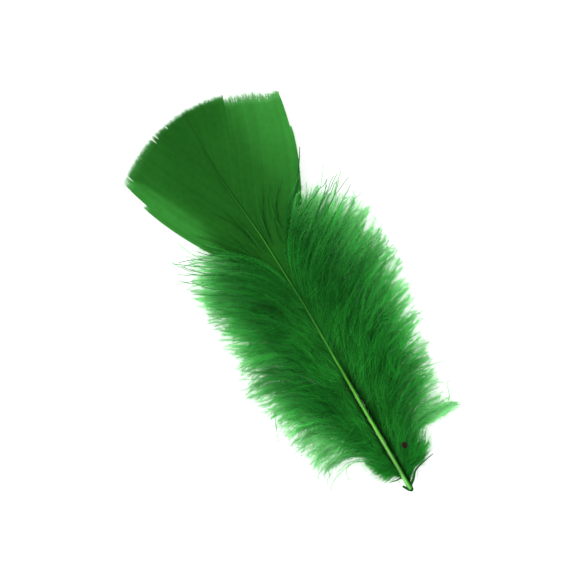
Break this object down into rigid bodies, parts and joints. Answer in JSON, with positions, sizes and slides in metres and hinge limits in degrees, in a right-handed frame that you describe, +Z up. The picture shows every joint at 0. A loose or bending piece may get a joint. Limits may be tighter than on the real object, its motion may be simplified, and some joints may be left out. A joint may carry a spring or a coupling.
{
  "type": "turkey flat feather",
  "caption": "Turkey body feather dyed green, lying on its back: a fan-shaped vane at the tip and fluffy down on each side of a tapering shaft.",
  "frame": {"origin": "under the middle of the feather's box, on the surface that it lies on", "axes": "+Y along the shaft from the quill end to the vane's tip, +X to the right of it seen from above, +Z up, out of the underside of the vane"},
  "size_m": [0.0603, 0.1283, 0.0083],
  "materials": {
    "feather": "dyed green barbs, soft and matte",
    "vane": "flat dyed barbs with a faint sheen, dark in the middle and lighter at the sides",
    "down": "fluffy dyed barbs, deep green inside and pale at their tips",
    "shaft": "smooth horn with a soft sheen, yellow green",
    "speck": "dry dark red brown"
  },
  "bodies": {
    "root": {"feather": "feather"}
  },
  "joints": []
}
